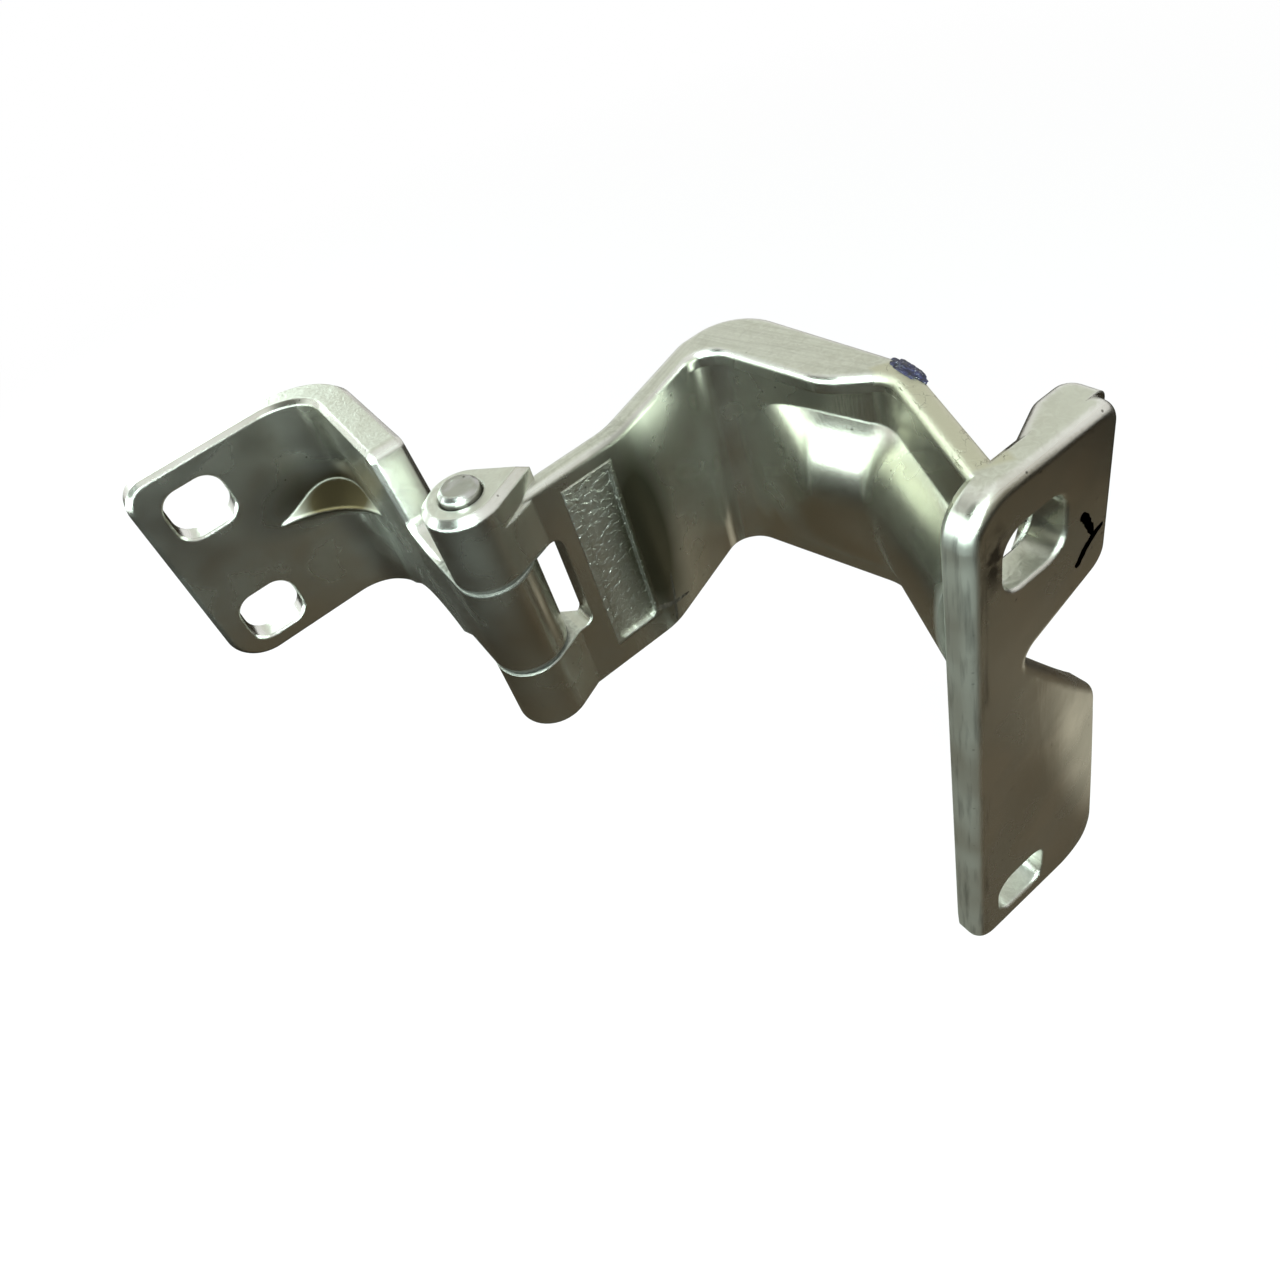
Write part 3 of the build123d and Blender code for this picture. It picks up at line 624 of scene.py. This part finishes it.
def metal_with_wear_and_corner_shade(tree, finish, coat):
    """The metal itself, with painted shade darkening its corners and rubbed, eased edges."""
    eased = add(tree, "ShaderNodeBevel", {"Radius": EASED_RADIUS * MM}, samples=3)
    flat = add(tree, "ShaderNodeNewGeometry")
    both = {0: eased.outputs[0], 1: flat.outputs["Normal"]}
    turn = add(tree, "ShaderNodeVectorMath", both, operation="DOT_PRODUCT")
    rubbed = {0: turn.outputs["Value"], 1: RUBBED_START, 2: RUBBED_FULL, 4: RUBBED_SHARE}
    edge = add(tree, "ShaderNodeMapRange", rubbed)
    # Painted shade: the colour darkens toward the corner shade colour where ambient occlusion is low.
    corner = add(tree, "ShaderNodeAmbientOcclusion", {"Distance": CORNER_SHADE_REACH * MM}, samples=2)
    held = {0: corner.outputs["AO"], 1: CORNER_SHADE_START, 2: CORNER_SHADE_FULL, 4: CORNER_SHADE_SHARE}
    corner_shade_mask = add(tree, "ShaderNodeMapRange", held)
    mixed = {0: edge.outputs[0], 6: coat["colour"], 7: finish.edge}
    colour = add(tree, "ShaderNodeMix", mixed, data_type="RGBA")
    mixed = {0: corner_shade_mask.outputs[0], 6: colour.outputs[2], 7: finish.corner_shade}
    colour = add(tree, "ShaderNodeMix", mixed, data_type="RGBA")
    relief = {"Height": coat["height"], "Distance": MM, "Normal": eased.outputs[0]}
    bump = add(tree, "ShaderNodeBump", relief)
    metal = {
        "Base Color": colour.outputs[2],
        "Metallic": 1.0,
        "Roughness": coat["rough"],
        "Normal": bump.outputs[0],
    }
    shader = add(tree, "ShaderNodeBsdfPrincipled", metal)
    add(tree, "ShaderNodeOutputMaterial", {"Surface": shader.outputs[0]})


def zinc_plated_steel(name, finish, light, dark, layers):
    """Zinc plate on pressed steel: a soft olive-grey metal gloss, clouded, pitted and pale at its edges."""
    material, tree = new_material(name)
    at = pin_mm(tree)
    coat = zinc_coat(tree, at, finish, light, dark)
    for layer in layers:
        coat = layer(tree, at, finish, coat)
    metal_with_wear_and_corner_shade(tree, finish, coat)
    return material


def dress(node, material):
    """Gives a solid its finish."""
    piece = frame["nodes"][node]
    piece.data.materials.clear()
    piece.data.materials.append(material)


class HINGE_OT_leaves(bpy.types.Operator):
    """Finish both leaves in zinc plate"""

    bl_idname = "hinge.leaves"
    bl_label = "Leaves"

    def execute(self, context):
        finish = context.scene.hinge_finish
        shades = (finish.zinc_light, finish.zinc_dark)
        pillar = [knuckle_seam_shade, dart_dark_patch, cut_edges, pillar_streaks]
        dress("pillar_leaf", zinc_plated_steel("zinc_plated_pillar_leaf", finish, *shades, pillar))
        door = [knuckle_seam_shade, web_dark_patch, cut_edges, rim_streaks, sheared_edge, recess_stipple, plate_marks]
        dress("door_leaf", zinc_plated_steel("zinc_plated_door_leaf", finish, *shades, door))
        return {"FINISHED"}


class HINGE_OT_pin(bpy.types.Operator):
    """Finish the pin in zinc plate with a turned end"""

    bl_idname = "hinge.pin"
    bl_label = "Pin"

    def execute(self, context):
        finish = context.scene.hinge_finish
        shades = (finish.pin_light, finish.pin_dark)
        dress("hinge_pin", zinc_plated_steel("zinc_plated_pin", finish, *shades, [turned_top]))
        return {"FINISHED"}


# Thin places in the ink, and its roughness where it is thick and thin.
INK_RUN_WIDTH = 0.9
INK_THIN_START = 0.45
INK_THIN_FULL = 0.7
INK_ROUGH_THICK = 0.45
INK_ROUGH_THIN = 0.65


def marker_ink(marks):
    """Dried marker ink: a dull, nearly black film that thins to brown."""
    material, tree = new_material("marker_ink")
    at = pin_mm(tree)
    thin = add(tree, "ShaderNodeTexNoise", {"Vector": at, "Scale": 1 / INK_RUN_WIDTH, "Detail": 4.0})
    share = add(tree, "ShaderNodeMapRange", {0: thin.outputs["Fac"], 1: INK_THIN_START, 2: INK_THIN_FULL})
    mixed = {0: share.outputs[0], 6: marks.ink, 7: marks.ink_thin}
    colour = add(tree, "ShaderNodeMix", mixed, data_type="RGBA")
    rough = add(tree, "ShaderNodeMapRange", {0: thin.outputs["Fac"], 3: INK_ROUGH_THICK, 4: INK_ROUGH_THIN})
    film = {"Base Color": colour.outputs[2], "Roughness": rough.outputs[0]}
    shader = add(tree, "ShaderNodeBsdfPrincipled", film)
    add(tree, "ShaderNodeOutputMaterial", {"Surface": shader.outputs[0]})
    return material


# Folds and scuffs of the paint, with painted shade in the folds' hollows.
PAINT_ROUGH = 0.42
FOLD_WIDTH = 1.1
FOLD_DEPTH = 0.25
FOLD_START = 0.35
FOLD_FULL = 0.6
SCUFF_WIDTH = 0.7
SCUFF_START = 0.64
SCUFF_FULL = 0.7
SCUFF_SHARE = 0.85


def inspection_paint(marks):
    """Thick dried paint: dark blue, crumpled, with painted shade in its folds' hollows, a soft shine and
    pale scuffs.
    """
    material, tree = new_material("inspection_paint")
    at = pin_mm(tree)
    folds = add(tree, "ShaderNodeTexNoise", {"Vector": at, "Scale": 1 / FOLD_WIDTH, "Detail": 5.0})
    # Painted shade: the colour darkens where the folds' relief is low.
    depth = add(tree, "ShaderNodeMapRange", {0: folds.outputs["Fac"], 1: FOLD_START, 2: FOLD_FULL})
    mixed = {0: depth.outputs[0], 6: marks.paint_fold_shade, 7: marks.paint}
    colour = add(tree, "ShaderNodeMix", mixed, data_type="RGBA")
    scraped = {"Vector": at, "Scale": 1 / SCUFF_WIDTH, "Detail": 3.0, "Distortion": 1.0}
    scuffs = add(tree, "ShaderNodeTexNoise", scraped)
    paler = {0: scuffs.outputs["Fac"], 1: SCUFF_START, 2: SCUFF_FULL, 4: SCUFF_SHARE}
    scuff = add(tree, "ShaderNodeMapRange", paler)
    mixed = {0: scuff.outputs[0], 6: colour.outputs[2], 7: marks.paint_scuff}
    colour = add(tree, "ShaderNodeMix", mixed, data_type="RGBA")
    bump = add(tree, "ShaderNodeBump", {"Height": folds.outputs["Fac"], "Distance": FOLD_DEPTH * MM})
    paint = {"Base Color": colour.outputs[2], "Roughness": PAINT_ROUGH, "Normal": bump.outputs[0]}
    shader = add(tree, "ShaderNodeBsdfPrincipled", paint)
    add(tree, "ShaderNodeOutputMaterial", {"Surface": shader.outputs[0]})
    return material


def add_piece(name, shape, material):
    """A finished mesh piece that moves with the door leaf."""
    bmesh.ops.recalc_face_normals(shape, faces=shape.faces)
    mesh = bpy.data.meshes.new(name)
    shape.to_mesh(mesh)
    shape.free()
    mesh.materials.append(material)
    piece = bpy.data.objects.new(name, mesh)
    bpy.context.scene.collection.objects.link(piece)
    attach(piece, "door")


# Marker strokes as start, bend and end in X and Z, with the pen's width at both ends.
WEB_CROSS = (
    ("web_cross_long", ((27.6, -21.2), (31.5, -23.4), (37.2, -25.4)), 1.5, 0.5),
    ("web_cross_short", ((33.4, -15.4), (32.8, -22.0), (31.4, -28.6)), 0.4, 0.9),
)
PLATE_TICK = (
    ("plate_tick_long", ((81.4, -0.4), (77.6, -1.2), (75.0, -6.4)), 1.2, 1.9),
    ("plate_tick_short", ((75.4, 5.9), (77.4, 2.6), (78.6, -1.0)), 1.9, 1.3),
)

# A stroke's mesh, how square its ends are, how much its width wavers and how often per millimetre, its
# least half width, and how far in front of the plate the pen starts.
STROKE_STEPS = 40
STROKE_LANES = 6
STROKE_END_POWER = 8
STROKE_WAVER = 0.35
STROKE_WAVERS_PER_MM = 1.3
STROKE_LEAST_HALF = 0.02
PEN_DISTANCE = 20.0


def stroke(name, path, start_width, end_width, surface, film, material):
    """One marker stroke, laid on the door leaf from the front as a thin film."""
    start, bend, end = (Vector((x, 0.0, z)) for x, z in path)
    shape = bmesh.new()
    bmesh.ops.create_grid(shape, x_segments=STROKE_STEPS, y_segments=STROKE_LANES, size=0.5)
    for corner in shape.verts:
        share = corner.co.x + 0.5
        side = 2 * corner.co.y
        middle = start.lerp(bend, share).lerp(bend.lerp(end, share), share)
        heading = (bend - start).lerp(end - bend, share).normalized()
        across = Vector((-heading.z, 0.0, heading.x))
        rounded = math.sqrt(max(0.0, 1 - (2 * share - 1) ** STROKE_END_POWER))
        wander = Vector((middle.x * STROKE_WAVERS_PER_MM, side, middle.z * STROKE_WAVERS_PER_MM))
        ragged = 1 + STROKE_WAVER * noise.noise(wander)
        half = (start_width + share * (end_width - start_width)) / 2 * rounded * ragged
        spot = middle + across * side * max(half, STROKE_LEAST_HALF)
        origin = PIN + Vector((spot.x, PLATE_FRONT - PEN_DISTANCE, spot.z)) * MM
        place, normal, _, _ = surface.ray_cast(origin, Vector((0, 1, 0)))
        if place is None:
            raise RuntimeError(f"{name} misses the door leaf")
        corner.co = place + normal * film / 2
    bmesh.ops.solidify(shape, geom=shape.faces[:], thickness=film)
    add_piece(name, shape, material)


class HINGE_OT_ink_marks(bpy.types.Operator):
    """Draw the marker cross on the web and the marker tick on the plate"""

    bl_idname = "hinge.ink_marks"
    bl_label = "Ink marks"

    def execute(self, context):
        marks = context.scene.hinge_marks
        leaf = frame["nodes"]["door_leaf"].data
        surface = BVHTree.FromPolygons([v.co for v in leaf.vertices], [p.vertices[:] for p in leaf.polygons])
        ink = marker_ink(marks)
        for name, path, start_width, end_width in WEB_CROSS + PLATE_TICK:
            stroke(name, path, start_width, end_width, surface, marks.film, ink)
        return {"FINISHED"}


# The paint dab's middle on the arm's outer top edge, its heading in plan in degrees and its shape. Its lumps
# are given as height, in parts of the dab, and number across it.
DAB_MIDDLE = (72.6, -34.6, 24.5)
DAB_HEADING = -106.0
DAB_WIDTH_SHARE = 0.34
DAB_HEIGHT_SHARE = 0.26
DAB_SUBDIVISIONS = 6
DAB_LUMPS = ((0.22, 4.2), (0.1, 11.0))


class HINGE_OT_paint_dab(bpy.types.Operator):
    """Put the crumpled paint dab on the arm's outer top edge"""

    bl_idname = "hinge.paint_dab"
    bl_label = "Paint dab"

    def execute(self, context):
        marks = context.scene.hinge_marks
        shape = bmesh.new()
        bmesh.ops.create_icosphere(shape, subdivisions=DAB_SUBDIVISIONS, radius=0.5)
        for corner in shape.verts:
            lump = sum(height * noise.noise(corner.co * number) for height, number in DAB_LUMPS)
            corner.co *= 1 + lump
        length = marks.dab_length
        size = Matrix.Diagonal((length, length * DAB_WIDTH_SHARE, length * DAB_HEIGHT_SHARE, 1.0))
        turn = Matrix.Rotation(math.radians(DAB_HEADING), 4, "Z")
        place = Matrix.Translation(PIN + Vector(DAB_MIDDLE) * MM)
        bmesh.ops.transform(shape, matrix=place @ turn @ size, verts=shape.verts)
        for face in shape.faces:
            face.smooth = True
        add_piece("paint_dab", shape, inspection_paint(marks))
        return {"FINISHED"}


# The camera, in the frame's own millimetres and degrees.
CAMERA_PLACE = (11.25, -198.37, 121.46)
CAMERA_TURN = (52.021, 18.48, -31.476)
CAMERA_SHIFT = (0.1032, -0.1287)
CAMERA_SENSOR = 36.0
CAMERA_CLIP = 5.0

# The floor stays a little shaded near the hinge and turns fully white away from it, in metres.
SHADE_NEAR = 0.25
SHADE_FAR = 0.8
SHADE_SHARE = 0.85
FLOOR_SIZE = 40.0
WORLD_STRENGTH = 0.6

# The glowing card on the floor, seen only in the metal where it paints reflections, its size in metres and
# its lift in millimetres.
# Its brighter spots: middle in plan, where each is full and where it ends, in millimetres, and its glow
# colour.
FLOOR_GLOW_SIZE = 1.6
FLOOR_GLOW_LIFT = 1.0
FLOOR_GLOW_SPOTS = (
    ((10.0, -30.0), 80.0, 200.0, "glow_inner"),
    ((10.0, -30.0), 30.0, 80.0, "glow_middle"),
    ((140.0, -120.0), 60.0, 130.0, "glow_side"),
    ((138.0, -70.0), 10.0, 36.0, "glow_patch"),
)

# Soft lamps: turn about the pin from +X and rise in degrees, width and height in metres, brightness, colour.
LAMP_DISTANCE = 0.7
SOFTBOXES = (
    ("window", 158.0, 12.0, 0.5, 0.34, 4.0, "#e6fffb"),
    ("doorway", 102.0, 18.0, 0.32, 0.3, 4.0, "#e6fffb"),
    ("street", 216.0, 9.0, 1.5, 0.32, 8.5, "#e6fffb"),
    ("sky", 238.0, 36.0, 0.55, 0.36, 8.5, "#e6fffb"),
)

# Glowing cards that the metal reflects, placed like the lamps, with their width, height and colour. Their
# glow has this many uneven places to a metre, dimmest and brightest as given.
CARDS = (
    ("dark_card", 182.0, 45.0, 0.62, 0.56, "#3d3324"),
    ("warm_card", 50.0, 48.0, 1.5, 0.7, "#d8dccf"),
    ("front_card", 285.0, 4.0, 0.7, 0.3, "#8c8676"),
)
BOARD_PLACES_PER_METRE = 6.0
BOARD_DIMMEST = 0.8
BOARD_BRIGHTEST = 1.2


def white_for_view(tree, shadowed, share):
    """Mixes plain white over a stage shader for camera, glossy and transmission rays."""
    path = add(tree, "ShaderNodeLightPath")
    straight = path.outputs["Is Camera Ray"]
    mirrored = path.outputs["Is Glossy Ray"]
    through = path.outputs["Is Transmission Ray"]
    seen = add(tree, "ShaderNodeMath", {0: straight, 1: mirrored}, operation="MAXIMUM")
    seen = add(tree, "ShaderNodeMath", {0: seen.outputs[0], 1: through}, operation="MAXIMUM")
    part = add(tree, "ShaderNodeMath", {0: seen.outputs[0], 1: share}, operation="MULTIPLY")
    white = add(tree, "ShaderNodeEmission", {"Color": linear("#ffffff"), "Strength": 1.0})
    return add(tree, "ShaderNodeMixShader", {0: part.outputs[0], 1: shadowed, 2: white.outputs[0]})


def stage_plane(name, centre, size):
    """A flat square stage piece facing up."""
    mesh = bpy.data.meshes.new(name)
    shape = bmesh.new()
    bmesh.ops.create_grid(shape, x_segments=1, y_segments=1, size=size / 2)
    bmesh.ops.translate(shape, vec=centre, verts=shape.verts)
    shape.to_mesh(mesh)
    shape.free()
    plane = bpy.data.objects.new(name, mesh)
    bpy.context.scene.collection.objects.link(plane)
    return plane


def hide_from_view(card):
    """Leaves a card to be seen only in the metal."""
    card.visible_camera = False
    card.visible_diffuse = False
    card.visible_shadow = False


def pale_paper(stage):
    """Matt paper: near white, keeping a soft shadow close to the hinge."""
    material, tree = new_material("pale_paper")
    where = add(tree, "ShaderNodeTexCoord")
    away = add(tree, "ShaderNodeVectorMath", {0: where.outputs["Object"], 1: PIN}, operation="DISTANCE")
    spread = {0: away.outputs["Value"], 1: SHADE_NEAR, 2: SHADE_FAR, 3: SHADE_SHARE, 4: 1.0}
    share = add(tree, "ShaderNodeMapRange", spread)
    matt = add(tree, "ShaderNodeBsdfDiffuse", {"Color": stage.paper})
    mixed = white_for_view(tree, matt.outputs[0], share.outputs[0])
    add(tree, "ShaderNodeOutputMaterial", {"Surface": mixed.outputs[0]})
    return material


def glowing_floor_card(stage):
    """A glowing card on the floor, seen only in the metal: painted reflections, bright under the hinge and
    dark further out.
    """
    material, tree = new_material("glowing_floor_card")
    under = add(tree, "ShaderNodeVectorMath", {0: pin_mm(tree), 1: (1.0, 1.0, 0.0)}, operation="MULTIPLY")
    colour = stage.glow_outer
    for spot, full, end, shade in FLOOR_GLOW_SPOTS:
        apart = {0: under.outputs[0], 1: (*spot, 0.0)}
        away = add(tree, "ShaderNodeVectorMath", apart, operation="DISTANCE")
        spread = {0: away.outputs["Value"], 1: full, 2: end, 3: 1.0, 4: 0.0}
        share = add(tree, "ShaderNodeMapRange", spread, interpolation_type="SMOOTHSTEP")
        mixed = {0: share.outputs[0], 6: colour, 7: getattr(stage, shade)}
        colour = add(tree, "ShaderNodeMix", mixed, data_type="RGBA").outputs[2]
    # The card glows with these colours and shows only as a painted reflection in the metal.
    glow = add(tree, "ShaderNodeEmission", {"Color": colour, "Strength": 1.0})
    add(tree, "ShaderNodeOutputMaterial", {"Surface": glow.outputs[0]})
    return material


def glowing_board(name, colour):
    """A glowing card that the metal reflects: a painted reflection, a little uneven in brightness."""
    material, tree = new_material(f"glowing_board_{name}")
    where = add(tree, "ShaderNodeTexCoord")
    glow_patches = {"Vector": where.outputs["Object"], "Scale": BOARD_PLACES_PER_METRE, "Detail": 1.0}
    uneven = add(tree, "ShaderNodeTexNoise", glow_patches)
    spread = {0: uneven.outputs["Fac"], 3: BOARD_DIMMEST, 4: BOARD_BRIGHTEST}
    strength = add(tree, "ShaderNodeMapRange", spread)
    glow = add(tree, "ShaderNodeEmission", {"Color": colour, "Strength": strength.outputs[0]})
    add(tree, "ShaderNodeOutputMaterial", {"Surface": glow.outputs[0]})
    return material


def outward(turn, rise):
    """The direction at this turn about the pin and this rise over the floor, in degrees."""
    return Euler((0.0, -math.radians(rise), math.radians(turn)), "XYZ").to_matrix() @ Vector((1, 0, 0))


def reflected_card(name, turn, rise, width, height, colour):
    """A glowing card at a turn and rise in degrees from the pin, seen only in the metal."""
    card = stage_plane(name, Vector((0, 0, 0)), 1.0)
    out = outward(turn, rise)
    place = Matrix.Translation(PIN + out * LAMP_DISTANCE)
    facing = out.to_track_quat("Z", "Y").to_matrix().to_4x4()
    card.data.transform(place @ facing @ Matrix.Diagonal((width, height, 1.0, 1.0)))
    card.data.materials.append(glowing_board(name, colour))
    hide_from_view(card)


def softbox(name, turn, rise, width, height, radiance, colour):
    """A soft lamp at a turn and rise in degrees from the pin, with its brightness as seen in a mirror."""
    lamp = bpy.data.lights.new(name, "AREA")
    lamp.shape = "RECTANGLE"
    lamp.size = width
    lamp.size_y = height
    lamp.energy = radiance * math.pi * width * height
    lamp.color = colour[:3]
    body = bpy.data.objects.new(name, lamp)
    out = outward(turn, rise)
    body.location = PIN + out * LAMP_DISTANCE
    body.rotation_mode = "QUATERNION"
    body.rotation_quaternion = (-out).to_track_quat("-Z", "Y")
    bpy.context.scene.collection.objects.link(body)


class HINGE_OT_stage(bpy.types.Operator):
    """Set the camera, the pale floor, the cards and the lamps"""

    bl_idname = "hinge.stage"
    bl_label = "Stage"

    def execute(self, context):
        scene = context.scene
        stage = scene.hinge_stage
        scene.view_settings.view_transform = "Standard"
        lens = bpy.data.cameras.new("camera")
        lens.sensor_width = CAMERA_SENSOR
        lens.lens = stage.lens
        lens.shift_x, lens.shift_y = CAMERA_SHIFT
        lens.clip_start = CAMERA_CLIP * MM
        camera = bpy.data.objects.new("camera", lens)
        camera.location = Vector(CAMERA_PLACE) * MM
        camera.rotation_euler = Euler([math.radians(angle) for angle in CAMERA_TURN], "XYZ")
        scene.collection.objects.link(camera)
        scene.camera = camera

        floor_z = CAD_LOW.z - stage.floor_drop
        floor = stage_plane("floor", Vector((PIN.x, PIN.y, floor_z)), FLOOR_SIZE)
        floor.data.materials.append(pale_paper(stage))
        glowing = stage_plane("glowing_floor_card", Vector((PIN.x, PIN.y, floor_z + FLOOR_GLOW_LIFT * MM)), FLOOR_GLOW_SIZE)
        glowing.data.materials.append(glowing_floor_card(stage))
        hide_from_view(glowing)
        for name, turn, rise, width, height, colour in CARDS:
            reflected_card(name, turn, rise, width, height, linear(colour))

        world = bpy.data.worlds.new("studio")
        world.use_nodes = True
        tree = world.node_tree
        tree.nodes.clear()
        plain = add(tree, "ShaderNodeBackground", {"Color": linear("#ffffff"), "Strength": WORLD_STRENGTH})
        mixed = white_for_view(tree, plain.outputs[0], 1.0)
        add(tree, "ShaderNodeOutputWorld", {"Surface": mixed.outputs[0]})
        scene.world = world

        for name, turn, rise, width, height, radiance, colour in SOFTBOXES:
            softbox(name, turn, rise, width, height, radiance, linear(colour))
        return {"FINISHED"}


class HINGE_PT_panel(bpy.types.Panel):
    """Lists the hinge's steps"""

    bl_idname = "HINGE_PT_panel"
    bl_label = "Car door hinge"
    bl_space_type = "VIEW_3D"
    bl_region_type = "UI"
    bl_category = "Hinge"

    def draw(self, context):
        for step in STEPS:
            self.layout.operator(step.bl_idname)


STEPS = (HINGE_OT_leaves, HINGE_OT_pin, HINGE_OT_ink_marks, HINGE_OT_paint_dab, HINGE_OT_stage)
CLASSES = (HingeFinish, HingeMarks, HingeStage, *STEPS, HINGE_PT_panel)


def register():
    for cls in CLASSES:
        bpy.utils.register_class(cls)
    bpy.types.Scene.hinge_finish = PointerProperty(type=HingeFinish)
    bpy.types.Scene.hinge_marks = PointerProperty(type=HingeMarks)
    bpy.types.Scene.hinge_stage = PointerProperty(type=HingeStage)


def unregister():
    del bpy.types.Scene.hinge_stage
    del bpy.types.Scene.hinge_marks
    del bpy.types.Scene.hinge_finish
    for cls in reversed(CLASSES):
        bpy.utils.unregister_class(cls)


def main():
    register()
    bpy.ops.hinge.leaves()
    bpy.ops.hinge.pin()
    bpy.ops.hinge.ink_marks()
    bpy.ops.hinge.paint_dab()
    bpy.ops.hinge.stage()


if __name__ == "__main__":
    main()
